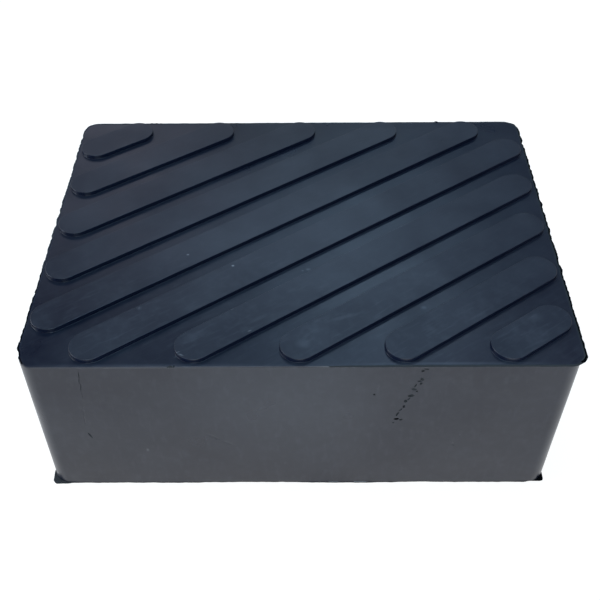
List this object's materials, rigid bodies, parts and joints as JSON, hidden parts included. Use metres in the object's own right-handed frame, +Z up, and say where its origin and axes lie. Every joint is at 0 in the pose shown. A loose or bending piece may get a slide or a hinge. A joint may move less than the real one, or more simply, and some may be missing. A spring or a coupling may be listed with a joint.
{
  "type": "lift arm rubber pad",
  "caption": "Rectangular moulded rubber block with a field of slanted grip ribs on top, laid on a vehicle lift's arm to carry the vehicle without slipping.",
  "frame": {"origin": "centre of the underside, on the surface that the pad lies on", "axes": "+X along the long side, +Y along the short side, +Z up through the ribbed face; the ribs rise from -X -Y to +X +Y"},
  "size_m": [0.1618, 0.1206, 0.06],
  "materials": {
    "black_rubber": "moulded satin black, slightly blue under a cool light"
  },
  "bodies": {
    "root": {"rubber_pad": "black_rubber"}
  },
  "joints": []
}
